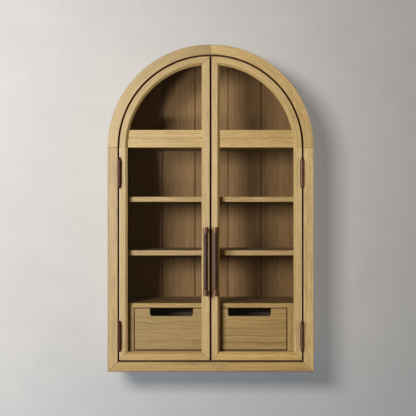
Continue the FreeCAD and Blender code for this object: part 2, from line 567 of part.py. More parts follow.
# ---------------------------------------------------------------- fixed half of the hinges
leaves, pins, screws = [], [], []
FLANGE_X = PIN_X + KNUCKLE_R - LEAF_T     # the leaf is tangent to the knuckle and steps out to the frame
for zc in HINGE_Z:
    leaf = box(OPEN_R - LEAF_T, OPEN_R, 0.1, 22, zc - HINGE_H / 2, zc + HINGE_H / 2)
    for a, b in ((zc - HINGE_H / 2, zc - KNUCKLE_H - 0.4), (zc + KNUCKLE_H + 0.4, zc + HINGE_H / 2)):
        leaf = leaf.fuse(box(FLANGE_X, OPEN_R, -1.8, -0.1, a, b))
        leaf = leaf.fuse(box(FLANGE_X, FLANGE_X + LEAF_T, PIN_Y, -0.1, a, b))
        leaf = leaf.fuse(box(OPEN_R - LEAF_T, OPEN_R, -1.8, 0.1, a, b))
        leaf = leaf.fuse(cyl((PIN_X, PIN_Y, a), (0, 0, 1), KNUCKLE_R, b - a))
    leaf = leaf.removeSplitter().cut(cyl((PIN_X, PIN_Y, zc - 50), (0, 0, 1), PIN_BORE_R, 100))
    for dz in (-30, 0, 30):
        q = (OPEN_R - LEAF_T, 11.0, zc + dz)
        leaf = leaf.cut(screw(q, (1, 0, 0), 3.3, LEAF_T, 1.6, 16, 0.05))
        sc = screw(q, (1, 0, 0), 3.3, LEAF_T, 1.6, 16)
        screws += [flip(sc), sc]
    leaves += [flip(leaf), leaf]
    finial = [(0.15, 4.6), (0.5, 5.0), (1.3, 5.0), (1.8, 3.5), (2.6, 3.4), (3.4, 4.3), (4.8, 5.0), (6.2, 5.1),
              (7.8, 4.6), (9.2, 3.6), (10.4, 2.5), (11.3, 1.5), (11.8, 0.8), (12.0, 0.3)]
    h = HINGE_H / 2
    top = turned((PIN_X, PIN_Y, zc), (0, 0, 1), [(-h, PIN_R), (h + 0.15, PIN_R)] + [(h + s, r) for s, r in finial])
    low = turned((PIN_X, PIN_Y, zc - h), (0, 0, -1), finial)
    pins += [flip(top), top, flip(low), low]
add("hinge_frame_leaves", *leaves)
add("hinge_pins", *pins)
add("cabinet_screws", *screws, *catch_screws)

# ---------------------------------------------------------------- drawers (built on the right, mirrored for the left)
yf0, yf1 = DRAWER_Y0, DRAWER_Y0 + DRAWER_FRONT_T
xm = (DRAWER_X0 + DRAWER_X1) / 2
SIDE_T = 12.0
SIDE_TOP = 196.0
SIDE_BOT = FLOOR_Z1 + 0.3
LAP = 8.0
slot = xz_prism([
    (xm - SLOT_W / 2, DRAWER_Z1 + 6), (xm - SLOT_W / 2, DRAWER_Z1 - SLOT_H, SLOT_R),
    (xm + SLOT_W / 2, DRAWER_Z1 - SLOT_H, SLOT_R), (xm + SLOT_W / 2, DRAWER_Z1 + 6)], yf0 - 5, yf1 + 5)
front = box(DRAWER_X0, DRAWER_X1, yf0, yf1, DRAWER_Z0, DRAWER_Z1).cut(slot)
front = ease(front, 1.1, at_front(yf0))
xs = [(DRAWER_X0 + 1, DRAWER_X0 + 1 + SIDE_T), (DRAWER_X1 - 1 - SIDE_T, DRAWER_X1 - 1)]
front = front.cut(box(DRAWER_X0 - 1, xs[0][1], yf1 - LAP, yf1 + 1, DRAWER_Z0 - 1, SIDE_TOP))
front = front.cut(box(xs[1][0], DRAWER_X1 + 1, yf1 - LAP, yf1 + 1, DRAWER_Z0 - 1, SIDE_TOP))
BZ0, BZ1 = 80.0, 86.0
GROOVE = 5.0
front = front.cut(box(xs[0][1] - 1, xs[1][0] + 1, yf1 - 6, yf1 + 1, BZ0 - 0.1, BZ1 + 0.1))
sides = []
for k, (a, b) in enumerate(xs):
    s = box(a, b, yf1 - LAP, DRAWER_BACK_Y, SIDE_BOT, SIDE_TOP)
    s = ease(s, 1.5, lambda bb: abs(bb.ZMin - SIDE_TOP) < 1e-4 and abs(bb.ZMax - SIDE_TOP) < 1e-4 and bb.YMax - bb.YMin > 60)
    g = box(b - GROOVE, b + 1, yf1 - LAP - 1, DRAWER_BACK_Y + 1, BZ0 - 0.1, BZ1 + 0.1) if k == 0 else \
        box(a - 1, a + GROOVE, yf1 - LAP - 1, DRAWER_BACK_Y + 1, BZ0 - 0.1, BZ1 + 0.1)
    sides.append(s.cut(g))
back = box(xs[0][1], xs[1][0], DRAWER_BACK_Y - SIDE_T, DRAWER_BACK_Y, BZ1 + 0.1, SIDE_TOP - 6)
bottom = box(xs[0][1] - GROOVE + 0.2, xs[1][0] + GROOVE - 0.2, yf1 - 5.8, DRAWER_BACK_Y, BZ0, BZ1)
for name, fn in (("right", lambda s: s), ("left", flip)):
    add(name + "_drawer_front", fn(front))
    add(name + "_drawer_box", *[fn(s) for s in sides + [back]])
    add(name + "_drawer_bottom", fn(bottom))

# ---------------------------------------------------------------- write the pieces
os.makedirs("parts", exist_ok=True)
assert len(nodes) <= 60, len(nodes)
for name, solids in sorted(nodes.items()):
    moved = []
    for s in solids:
        s = s.copy()
        for q in (s.Solids if s.Solids else [s]):
            assert q.isValid() and q.Volume > 0, name
            q = q.copy()
            q.translate(V(0, -DEPTH, -HANG_Z))
            moved.append(q)
    shape = moved[0] if len(moved) == 1 else Part.makeCompound(moved)
    shape.exportStep("parts/%s.step" % name)
    b = shape.BoundBox
    print("%-28s %2d  vol %10.1f  x %7.1f %7.1f  y %7.1f %7.1f  z %7.1f %7.1f" % (
        name, len(moved), sum(m.Volume for m in moved), b.XMin, b.XMax, b.YMin, b.YMax, b.ZMin, b.ZMax))
print("nodes", len(nodes))
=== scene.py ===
import json
import math
import random

import bpy
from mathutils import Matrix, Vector

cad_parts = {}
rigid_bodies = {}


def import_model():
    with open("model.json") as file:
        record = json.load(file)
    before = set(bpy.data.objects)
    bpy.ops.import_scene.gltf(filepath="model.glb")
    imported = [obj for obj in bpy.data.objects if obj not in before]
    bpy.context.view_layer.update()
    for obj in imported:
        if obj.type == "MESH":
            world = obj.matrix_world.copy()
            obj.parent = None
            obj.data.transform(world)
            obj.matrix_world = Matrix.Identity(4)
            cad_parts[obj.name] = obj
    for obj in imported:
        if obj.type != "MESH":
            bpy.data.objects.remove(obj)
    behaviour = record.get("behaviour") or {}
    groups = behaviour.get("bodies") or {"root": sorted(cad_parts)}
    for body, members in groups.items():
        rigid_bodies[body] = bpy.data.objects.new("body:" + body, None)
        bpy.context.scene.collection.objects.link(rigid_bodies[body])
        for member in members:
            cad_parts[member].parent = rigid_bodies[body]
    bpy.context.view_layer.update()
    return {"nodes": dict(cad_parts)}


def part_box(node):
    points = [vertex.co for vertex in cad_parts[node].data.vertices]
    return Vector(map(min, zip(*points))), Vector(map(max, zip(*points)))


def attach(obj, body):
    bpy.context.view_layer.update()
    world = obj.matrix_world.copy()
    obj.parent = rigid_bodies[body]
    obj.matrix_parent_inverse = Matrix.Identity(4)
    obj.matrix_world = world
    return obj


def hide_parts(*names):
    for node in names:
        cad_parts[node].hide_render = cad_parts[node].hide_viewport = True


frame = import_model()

NODES = frame["nodes"]
ARCH_Z = -0.054          # height of the centre that every arch is struck from


# ---------------------------------------------------------------- node trees
class Graph:
    """A material under construction. Sockets are linked, plain values are set on the socket."""

    def __init__(self, name):
        self.mat = bpy.data.materials.new(name)
        self.mat.use_nodes = True
        self.nt = self.mat.node_tree
        self.nt.nodes.clear()
        self.output = self.nt.nodes.new("ShaderNodeOutputMaterial")
        self.coord = self.nt.nodes.new("ShaderNodeTexCoord").outputs["Object"]

    def node(self, kind, **props):
        n = self.nt.nodes.new(kind)
        for k, v in props.items():
            setattr(n, k, v)
        return n

    def put(self, socket, value):
        if isinstance(value, bpy.types.NodeSocket):
            self.nt.links.new(value, socket)
        elif isinstance(value, (tuple, list)) and len(value) == 3 and socket.type == "RGBA":
            socket.default_value = (*value, 1.0)
        else:
            socket.default_value = value

    def math(self, op, a, b=None, c=None, clamp=False):
        n = self.node("ShaderNodeMath", operation=op, use_clamp=clamp)
        for i, v in enumerate((a, b, c)):
            if v is not None:
                self.put(n.inputs[i], v)
        return n.outputs[0]

    def add(self, a, b):
        return self.math("ADD", a, b)

    def sub(self, a, b):
        return self.math("SUBTRACT", a, b)

    def mul(self, a, b):
        return self.math("MULTIPLY", a, b)

    def split(self, v):
        n = self.node("ShaderNodeSeparateXYZ")
        self.put(n.inputs[0], v)
        return n.outputs[0], n.outputs[1], n.outputs[2]

    def join(self, x, y, z):
        n = self.node("ShaderNodeCombineXYZ")
        for i, v in enumerate((x, y, z)):
            self.put(n.inputs[i], v)
        return n.outputs[0]

    def stretch(self, v, scale, shift=(0.0, 0.0, 0.0)):
        n = self.node("ShaderNodeVectorMath", operation="MULTIPLY_ADD")
        self.put(n.inputs[0], v)
        n.inputs[1].default_value = scale
        n.inputs[2].default_value = shift
        return n.outputs[0]

    def noise(self, v, detail=2.0, rough=0.5, distortion=0.0, scale=1.0):
        n = self.node("ShaderNodeTexNoise", noise_dimensions="3D")
        self.put(n.inputs["Vector"], v)
        n.inputs["Scale"].default_value = scale
        n.inputs["Detail"].default_value = detail
        n.inputs["Roughness"].default_value = rough
        n.inputs["Distortion"].default_value = distortion
        return n.outputs["Fac"]

    def noise1(self, w, detail=1.0, rough=0.5):
        n = self.node("ShaderNodeTexNoise", noise_dimensions="1D")
        self.put(n.inputs["W"], w)
        n.inputs["Scale"].default_value = 1.0
        n.inputs["Detail"].default_value = detail
        n.inputs["Roughness"].default_value = rough
        return n.outputs["Fac"]

    def white(self, w):
        n = self.node("ShaderNodeTexWhiteNoise", noise_dimensions="1D")
        self.put(n.inputs["W"], w)
        return n.outputs["Value"]

    def remap(self, x, lo, hi, a=0.0, b=1.0, kind="SMOOTHSTEP"):
        n = self.node("ShaderNodeMapRange", interpolation_type=kind, clamp=True)
        for name, v in (("Value", x), ("From Min", lo), ("From Max", hi), ("To Min", a), ("To Max", b)):
            self.put(n.inputs[name], v)
        return n.outputs[0]

    def ramp(self, x, stops, mode="LINEAR"):
        n = self.node("ShaderNodeValToRGB")
        self.put(n.inputs[0], x)
        e = n.color_ramp.elements
        n.color_ramp.interpolation = mode
        while len(e) < len(stops):
            e.new(0.5)
        for el, (pos, col) in zip(e, stops):
            el.position = pos
            el.color = (*col, 1.0)
        return n.outputs[0]

    def blend(self, f, a, b, kind="MIX"):
        n = self.node("ShaderNodeMix", data_type="RGBA", blend_type=kind, clamp_factor=True)
        self.put(n.inputs[0], f)
        self.put(n.inputs[6], a)
        self.put(n.inputs[7], b)
        return n.outputs[2]

    def occlusion(self, distance, inside=False, samples=4):
        n = self.node("ShaderNodeAmbientOcclusion", inside=inside, only_local=True, samples=samples)
        n.inputs["Distance"].default_value = distance
        return n.outputs["AO"]

    def bump(self, height, distance, strength=1.0):
        n = self.node("ShaderNodeBump")
        n.inputs["Strength"].default_value = strength
        n.inputs["Distance"].default_value = distance
        self.put(n.inputs["Height"], height)
        return n.outputs["Normal"]

    def finish(self, **sockets):
        p = self.node("ShaderNodeBsdfPrincipled")
        for k, v in sockets.items():
            self.put(p.inputs[k.replace("_", " ")], v)
        self.nt.links.new(p.outputs[0], self.output.inputs[0])
        return self.mat


# ---------------------------------------------------------------- oak
FACE = ((0.235, 0.130, 0.033), (0.375, 0.247, 0.077), (0.485, 0.332, 0.118), (0.585, 0.422, 0.176))
INNER = ((0.140, 0.075, 0.024), (0.215, 0.125, 0.052), (0.285, 0.172, 0.077), (0.365, 0.228, 0.110))


def grain_axes(g, grain):
    """The board's own coordinates: u along the fibres, v across the width, w through the thickness."""
    x, y, z = g.split(g.coord)
    if grain == "x":
        return x, z, y
    if grain == "x_flat":
        return x, y, z
    if grain == "y":
        return y, z, x
    if grain == "y_flat":
        return y, x, z
    if grain == "z":
        return z, x, y
    if grain == "z_side":
        return z, y, x
    if grain == "arc":
        up = g.sub(z, ARCH_Z)
        radius = g.math("SQRT", g.add(g.mul(x, x), g.mul(up, up)))
        return g.mul(g.math("ARCTAN2", x, up), 0.362), radius, y
    raise ValueError(grain)


def oak(name, grain, seed, tone=1.0, cut="rift", colours=FACE, pith=(0.0, 0.1), spacing=0.0030,
        slope=0.0, contrast=1.0, boards=None, wear_and_highlight=0.5, rough=0.56, two=None, shine=1.0, tint=(1.0, 1.0, 1.0),
        lipping=None, stripe=None, grime_and_shade=0.45, joints=(), gaps=(), front=-0.305,
        falloff_across=0.0, gap_shade=0.92, wave=0.0, broadly=0.48, rings=None, shaded_arris=(), notch_shade=None,
        falloff_right=0.0, beside_gap_shade=0.62, painted_highlight_edges=()):
    """Solid oak, drawn through the whole piece, so that faces, edges and end grain agree.

    cut rift is near-straight grain; flat has growth rings round a pith at (v, w), which
    drifts by slope along the board and so opens into cathedrals. boards is (first joint, pitch)
    across v where a node holds several boards. two is a test for a node that holds pieces
    with crossed grain: (axis index, limit, other grain). lipping is (y limit, gain): a solid
    strip on the front edge, cut from the paler wood. stripe is (v position, half width, depth):
    one brown band of heartwood that follows the fibres. joints are glue lines, seen from the front,
    as (nx, nz, d, reach) with nx |x| + nz z = d and |x| < reach. gaps are the edges that face a narrow gap, whose walls
    are painted dark as shade, as (measure, "under" or "over", limit), with stain setting how dark. fall darkens across
    v: painted falloff of light.
    wave bends neighbouring fibres together, broadly and rings set the wide bands and the growth lines. arris
    lists outer edges of the face that are painted darker as shade where they turn away from the light, as (measure,
    "under" or "over", limit, strength). nicks darkens the ends of a seam, painted shade of a small notch there, as (|x|
    of one end, |x| of the other, z, reach). drift darkens towards the right: painted falloff of light.
    beside is the strength of the brown painted shade next to a gap, and painted_highlight_edges lists edges of the face
    that are painted paler as a highlight, as arris does."""
    rnd = random.Random(seed)
    tone = tuple(tone * c for c in tint)

    def shade(c, k=1.0):
        return tuple(min(1.0, a * b * k) for a, b in zip(c, tone))

    g = Graph(name)
    u, v, w = grain_axes(g, grain)
    if two is not None:
        axis, limit, other = two
        pick = g.math("GREATER_THAN", g.split(g.coord)[axis], limit)
        u2, v2, w2 = grain_axes(g, other)
        u, v, w = (g.add(g.mul(g.sub(1.0, pick), a), g.mul(pick, g.add(b, 0.37)))
                   for a, b in ((u, u2), (v, v2), (w, w2)))
    board_tone = None
    if boards is not None:
        index = g.math("FLOOR", g.math("DIVIDE", g.sub(v, boards[0]), boards[1]))
        u = g.add(u, g.mul(g.white(g.add(index, seed * 0.37)), 7.0))
        board_tone = g.white(g.add(index, seed * 0.61 + 5.3))
        w = g.add(w, g.mul(g.white(g.add(index, seed * 0.23 + 1.7)), 0.6))
    off = [rnd.uniform(-6, 6) for _ in range(3)]
    p = g.join(u, v, w)

    # the fibres wander a little along the board
    bend = g.noise(g.stretch(p, (2.2, 11.0, 11.0), (off[0], off[1], off[2])), 2.0, 0.5)
    wander = g.sub(bend, 0.5)
    v_b = g.add(v, g.mul(wander, 0.016 if cut == "flat" else 0.006))
    ripple = g.sub(g.noise(g.stretch(p, (14.0, 40.0, 40.0), (off[2], off[0], off[1])), 2.0, 0.5), 0.5)
    v_b = g.add(v_b, g.mul(ripple, 0.0045 if cut == "flat" else 0.0012))
    if wave:
        roll = g.sub(g.noise(g.stretch(p, (7.0, 6.0, 6.0), (off[1] + 2.3, off[2], off[0])), 1.0, 0.5), 0.5)
        swell = g.sub(g.noise(g.stretch(p, (19.0, 17.0, 17.0), (off[2] + 5.1, off[0], off[1])), 1.0, 0.5), 0.5)
        v_b = g.add(v_b, g.add(g.mul(roll, wave), g.mul(swell, wave * 0.42)))
    q = g.join(u, v_b, w)

    # growth rings
    if cut == "flat":
        depth = g.add(g.sub(w, pith[1]), g.mul(g.add(u, rnd.uniform(-0.3, 0.3)), slope))
        across = g.sub(v_b, pith[0])
        rr = g.math("SQRT", g.add(g.mul(across, across), g.mul(depth, depth)))
    else:
        a = math.radians(rnd.uniform(52, 66))
        rr = g.add(g.mul(v_b, math.cos(a)), g.mul(w, math.sin(a)))
        rr = g.add(rr, rnd.uniform(0, 1))
    year = g.noise1(g.add(g.mul(rr, 95.0), off[1]), 1.0)
    t = g.math("FRACT", g.add(g.math("DIVIDE", rr, spacing), g.mul(year, 1.6)))
    early = g.math("MAXIMUM", g.remap(t, 0.0, 0.55, 1.0, 0.0), g.remap(t, 0.9, 1.0))

    # streaks of three sizes, along the fibres
    broad = g.sub(g.noise(g.stretch(q, (1.5, 38.0, 38.0), (off[1], off[2], off[0])), 3.0, 0.55), 0.5)
    streak = g.sub(g.noise(g.stretch(q, (3.6, 210.0, 210.0), (off[0], off[2], off[1])), 4.0, 0.6), 0.5)
    fine = g.sub(g.noise(g.stretch(q, (17.0, 330.0, 330.0), (off[2], off[1], off[0])), 4.0, 0.65), 0.5)
    slow = g.sub(g.noise(g.stretch(p, (1.3, 5.0, 5.0), (off[0] + 3.1, off[1], off[2])), 1.0, 0.5), 0.5)

    f = g.add(0.56, g.mul(broad, broadly * contrast))
    f = g.add(f, g.mul(streak, 0.85 * contrast))
    f = g.add(f, g.mul(fine, 1.45 * contrast))
    f = g.add(f, g.mul(slow, 0.45))
    # painted falloff of light: darker across v, and darker towards the right
    if falloff_across:
        f = g.sub(f, g.mul(v, falloff_across))
    if falloff_right:
        f = g.sub(f, g.mul(g.split(g.coord)[0], falloff_right))
    if stripe is not None:
        at, half, deep = stripe
        away = g.math("ABSOLUTE", g.sub(g.add(v_b, g.mul(wander, 0.012)), at))
        f = g.sub(f, g.mul(g.remap(away, 0.0, half, 1.0, 0.0), g.add(deep, g.mul(slow, deep))))
    if rings is None:
        rings = 0.21 if cut == "flat" else 0.11
    f = g.sub(f, g.mul(early, rings * contrast))
    if board_tone is not None:
        f = g.add(f, g.mul(g.sub(board_tone, 0.5), 0.30))
    stops = (0.05, 0.34, 0.62, 0.95)
    colour = g.ramp(f, [(at, shade(c)) for at, c in zip(stops, colours)])
    if lipping is not None:
        own = lipping[2] if len(lipping) > 2 else (1.0, 1.0, 1.0)
        pale = g.ramp(f, [(at, shade([a * b for a, b in zip(c, own)], lipping[1])) for at, c in zip(stops, FACE)])
        strip = g.remap(g.split(g.coord)[1], lipping[0] - 0.00015, lipping[0] + 0.00015, 1.0, 0.0)
        colour = g.blend(strip, colour, pale)

    # open pores: short dark dashes, crowded in the early wood
    pore_n = g.noise(g.stretch(q, (75.0, 1500.0, 1500.0), (off[1] + 9, off[0], off[2])), 1.0, 0.5)
    pore = g.mul(g.remap(pore_n, 0.60, 0.70), g.add(0.30, g.mul(early, 0.70)))
    colour = g.blend(g.mul(pore, 0.60), colour, shade(colours[0], 0.58))
    # silver flecks, where the saw ran along the rays
    fleck_n = g.noise(g.stretch(q, (60.0, 55.0, 420.0), (off[2] + 4, off[0], off[1])), 2.0, 0.55)
    fleck = g.remap(fleck_n, 0.62, 0.72)
    colour = g.blend(g.mul(fleck, 0.16 * contrast), colour, shade(colours[3], 1.12))

    # edges are made paler, partly from handling and partly a painted highlight; inner corners are darkened, partly dirt
    # and partly painted shade
    if wear_and_highlight > 0:
        edge = g.remap(g.occlusion(0.0032, inside=True), 0.93, 0.55)
        edge = g.mul(edge, g.remap(streak, -0.25, 0.2, 0.55, 1.0, "LINEAR"))
        colour = g.blend(g.mul(edge, wear_and_highlight), colour, shade(colours[3], 1.16))
        corner_grime_and_shade = g.remap(g.occlusion(0.010), 0.80, 0.35)
        colour = g.blend(g.mul(corner_grime_and_shade, grime_and_shade), colour, shade(colours[0], 0.45))

    if joints or gaps or shaded_arris:
        x, y, z = g.split(g.coord)
        side = g.math("ABSOLUTE", x)
        up = g.sub(z, ARCH_Z)
        measures = {"x": side, "z": z, "r": g.math("SQRT", g.add(g.mul(x, x), g.mul(up, up)))}
        joint_and_gap_shade, gap_edge_shade = None, None
        inward = g.remap(y, front + 0.005, front + 0.009)
        outward = g.remap(y, front + 0.0022, front + 0.0045, 1.0, 0.0)
        for nx, nz, d, reach in joints:
            away = g.math("ABSOLUTE", g.sub(g.add(g.mul(side, nx), g.mul(z, nz)), d))
            line = g.mul(g.remap(away, 0.0003, 0.0011, 1.0, 0.0), g.remap(streak, -0.4, 0.3, 0.50, 0.80, "LINEAR"))
            line = g.mul(line, g.math("LESS_THAN", side, reach))
            joint_and_gap_shade = line if joint_and_gap_shade is None else g.math("MAXIMUM", joint_and_gap_shade, line)
        # the walls of each gap are painted dark as shade, and a brown band of painted shade lies on the face next to
        # the gap; the joint lines above are the wood's own dark glue lines
        for what, sense, limit in gaps:
            lo, hi = (1.0, 0.0) if sense == "under" else (0.0, 1.0)
            face = g.remap(measures[what], limit - 0.00025, limit + 0.00025, gap_shade * lo, gap_shade * hi)
            face = g.mul(face, inward)
            joint_and_gap_shade = face if joint_and_gap_shade is None else g.math("MAXIMUM", joint_and_gap_shade, face)
            near = g.remap(g.math("ABSOLUTE", g.sub(measures[what], limit)), 0.0003, 0.0016, beside_gap_shade, 0.0)
            gap_edge_shade = near if gap_edge_shade is None else g.math("MAXIMUM", gap_edge_shade, near)
        if gap_edge_shade is not None:
            colour = g.blend(gap_edge_shade, colour, (0.20, 0.070, 0.036))
        if joint_and_gap_shade is not None:
            colour = g.blend(joint_and_gap_shade, colour, (0.072, 0.0085, 0.0065))
        # outer edges that turn away from the light are painted darker as shade
        for what, sense, limit, strength in shaded_arris:
            lo, hi = (strength, 0.0) if sense == "under" else (0.0, strength)
            a, b = (limit - 0.0013, limit) if sense == "under" else (limit, limit + 0.0013)
            band = g.mul(g.remap(measures[what], a, b, lo, hi), outward)
            colour = g.blend(band, colour, (0.115, 0.060, 0.023))
        # edges that face the light are painted paler as a highlight
        for what, sense, limit, strength in painted_highlight_edges:
            lo, hi = (strength, 0.0) if sense == "under" else (0.0, strength)
            a, b = (limit - 0.0013, limit) if sense == "under" else (limit, limit + 0.0013)
            band = g.mul(g.remap(measures[what], a, b, lo, hi), outward)
            colour = g.blend(band, colour, (0.80, 0.68, 0.47))

    # the ends of a seam are painted dark: painted shade of a small notch there
    if notch_shade is not None:
        x, y, z = g.split(g.coord)
        side = g.math("ABSOLUTE", x)
        high = g.mul(g.sub(z, notch_shade[2]), 2.6)
        for at in notch_shade[:2]:
            along = g.sub(side, at)
            away = g.math("SQRT", g.add(g.mul(along, along), g.mul(high, high)))
            colour = g.blend(g.remap(away, notch_shade[3] * 0.55, notch_shade[3], 0.85, 0.0), colour, (0.075, 0.032, 0.014))

    roughness = g.add(rough, g.mul(streak, 0.20))
    roughness = g.add(roughness, g.mul(pore, 0.16))
    roughness = g.add(roughness, g.mul(slow, 0.10))
    if boards is not None:
        place = g.math("FRACT", g.math("DIVIDE", g.sub(v, boards[0]), boards[1]))
        off_seam = g.mul(g.math("MINIMUM", place, g.sub(1.0, place)), boards[1])
        colour = g.blend(g.remap(off_seam, 0.0003, 0.0010, 0.85, 0.0), colour, (0.030, 0.0140, 0.0075))
    height = g.sub(g.mul(fine, 0.30), g.mul(pore, 1.0))
    height = g.sub(height, g.mul(early, 0.22))
    normal = g.bump(height, 0.00025, 0.55)
    return g.finish(Base_Color=colour, Roughness=roughness, Normal=normal, Specular_IOR_Level=shine)


# ---------------------------------------------------------------- metals, leather, glass
def bronze(name, seed, dark, mid, bare, rough=0.42, turned=False, metallic=0.75,
           right=None):
    """Oil-rubbed bronze: a brown skin over the metal, thin on edges, mottled and faintly turned.
    right multiplies the colour of what stands right of the centre line: painted light that evens out the lamp's falloff
    to the right."""
    g = Graph(name)
    r = random.Random(seed)
    off = [r.uniform(-4, 4) for _ in range(3)]
    mottle = g.noise(g.stretch(g.coord, (160.0, 160.0, 110.0), tuple(off)), 4.0, 0.6, 0.6)
    cloud = g.noise(g.stretch(g.coord, (42.0, 42.0, 30.0), (off[1], off[2], off[0])), 3.0, 0.6)
    speck = g.noise(g.stretch(g.coord, (900.0, 900.0, 900.0), tuple(off)), 2.0, 0.6)
    f = g.add(g.mul(mottle, 0.55), g.mul(cloud, 0.45))
    colour = g.ramp(f, [(0.30, dark), (0.52, mid), (0.74, tuple(0.5 * (a + b) for a, b in zip(mid, bare)))])
    # painted light: parts right of the centre line are made brighter, to even out the lamp's falloff to the right
    if right is not None:
        other = [tuple(a * b for a, b in zip(c, right)) for c in (dark, mid, tuple(0.5 * (a + b) for a, b in zip(mid, bare)))]
        lifted = g.ramp(f, list(zip((0.30, 0.52, 0.74), other)))
        colour = g.blend(g.math("GREATER_THAN", g.split(g.coord)[0], 0.0), colour, lifted)
    edge = g.remap(g.occlusion(0.0016, inside=True), 0.90, 0.50)
    colour = g.blend(g.mul(edge, 0.65), colour, bare)
    pit = g.remap(speck, 0.64, 0.74)
    colour = g.blend(g.mul(pit, 0.4), colour, tuple(c * 0.5 for c in dark))
    lines = g.noise(g.stretch(g.coord, (60.0, 60.0, 2600.0) if turned else (700.0, 700.0, 90.0), tuple(off)), 2.0, 0.5)
    roughness = g.add(rough, g.mul(g.sub(mottle, 0.5), 0.35))
    roughness = g.sub(roughness, g.mul(edge, 0.10))
    height = g.add(g.mul(lines, 0.5), g.mul(mottle, 0.7))
    height = g.sub(height, g.mul(pit, 0.6))
    return g.finish(Base_Color=colour, Metallic=metallic, Roughness=roughness,
                    Normal=g.bump(height, 0.00018, 0.5))


def lace(name, seed, wind=None):
    """Waxed leather lace: cracked grain, crowns made paler, partly polished by the hand and partly a painted highlight.
    wind is the winding (centre x, centre y, height of its first turn, turns per metre, hand), for the painted shade
    between turns and the painted highlight on the crowns."""
    g = Graph(name)
    r = random.Random(seed)
    off = [r.uniform(-4, 4) for _ in range(3)]
    cells = g.node("ShaderNodeTexVoronoi", feature="DISTANCE_TO_EDGE")
    g.put(cells.inputs["Vector"], g.stretch(g.coord, (1.0, 1.0, 1.6), tuple(off)))
    cells.inputs["Scale"].default_value = 1500.0
    crack = g.remap(cells.outputs["Distance"], 0.02, 0.14)
    tone = g.noise(g.stretch(g.coord, (130.0, 130.0, 210.0), tuple(off)), 4.0, 0.6)
    slow = g.noise(g.stretch(g.coord, (25.0, 25.0, 22.0), (off[2], off[0], off[1])), 2.0, 0.5)
    f = g.add(g.mul(tone, 0.6), g.mul(slow, 0.4))
    colour = g.ramp(f, [(0.30, (0.015, 0.0040, 0.0027)), (0.50, (0.026, 0.0072, 0.0048)), (0.72, (0.056, 0.020, 0.013))])
    # painted shade in the hollows between the turns
    groove_shade = g.remap(g.occlusion(0.0024), 0.97, 0.50)
    colour = g.blend(g.mul(groove_shade, 0.9), colour, (0.008, 0.0030, 0.0022))
    # crowns made paler: partly polished by the hand, partly a painted highlight
    crown_wear_and_highlight = g.remap(g.occlusion(0.0022, inside=True), 0.90, 0.45)
    colour = g.blend(g.mul(crown_wear_and_highlight, 0.55), colour, (0.17, 0.095, 0.070))
    colour = g.blend(g.mul(g.sub(1.0, crack), 0.35), colour, (0.022, 0.013, 0.010))
    if wind is not None:
        cx, cy, start, rate, hand = wind
        x, y, z = g.split(g.coord)
        angle = g.math("ARCTAN2", g.sub(y, cy), g.sub(x, cx))
        phase = g.math("FRACT", g.add(g.sub(g.mul(g.sub(z, start), rate), g.mul(angle, hand / (2 * math.pi))), 0.5))
        off_crown = g.math("ABSOLUTE", g.sub(phase, 0.5))
        # painted shade between the turns and a painted highlight along the crowns
        colour = g.blend(g.remap(off_crown, 0.13, 0.34, 0.0, 0.95), colour, (0.0060, 0.0018, 0.0012))
        colour = g.blend(g.remap(off_crown, 0.0, 0.15, 0.70, 0.0), colour, (0.175, 0.092, 0.066))
    roughness = g.add(0.36, g.mul(g.sub(tone, 0.5), 0.3))
    roughness = g.add(roughness, g.mul(groove_shade, 0.25))
    height = g.add(g.mul(crack, 0.6), g.mul(tone, 0.5))
    return g.finish(Base_Color=colour, Roughness=roughness, Normal=g.bump(height, 0.00015, 0.5),
                    Specular_IOR_Level=0.34)


def zinc(name, seed):
    g = Graph(name)
    r = random.Random(seed)
    off = [r.uniform(-4, 4) for _ in range(3)]
    spangle = g.noise(g.stretch(g.coord, (420.0, 420.0, 420.0), tuple(off)), 4.0, 0.65, 0.8)
    haze = g.noise(g.stretch(g.coord, (90.0, 90.0, 90.0), tuple(off)), 2.0, 0.5)
    colour = g.ramp(g.add(g.mul(spangle, 0.6), g.mul(haze, 0.4)),
                    [(0.3, (0.26, 0.25, 0.235)), (0.52, (0.44, 0.43, 0.40)), (0.75, (0.62, 0.60, 0.56))])
    # painted shade in the crevices
    crevice_shade = g.remap(g.occlusion(0.0012), 0.9, 0.4)
    colour = g.blend(g.mul(crevice_shade, 0.75), colour, (0.06, 0.048, 0.04))
    return g.finish(Base_Color=colour, Metallic=0.9, Roughness=g.add(0.32, g.mul(g.sub(spangle, 0.5), 0.4)),
                    Normal=g.bump(spangle, 0.00008, 0.4))


def moulded(name, seed):
    g = Graph(name)
    r = random.Random(seed)
    off = [r.uniform(-4, 4) for _ in range(3)]
    grain = g.noise(g.stretch(g.coord, (1400.0, 1400.0, 1400.0), tuple(off)), 2.0, 0.6)
    flow = g.noise(g.stretch(g.coord, (60.0, 90.0, 60.0), tuple(off)), 3.0, 0.6)
    colour = g.ramp(flow, [(0.3, (0.085, 0.052, 0.036)), (0.7, (0.13, 0.084, 0.060))])
    edge = g.remap(g.occlusion(0.0012, inside=True), 0.9, 0.5)
    colour = g.blend(g.mul(edge, 0.3), colour, (0.20, 0.14, 0.105))
    return g.finish(Base_Color=colour, Roughness=g.add(0.48, g.mul(g.sub(grain, 0.5), 0.3)),
                    Normal=g.bump(grain, 0.00006, 0.5))


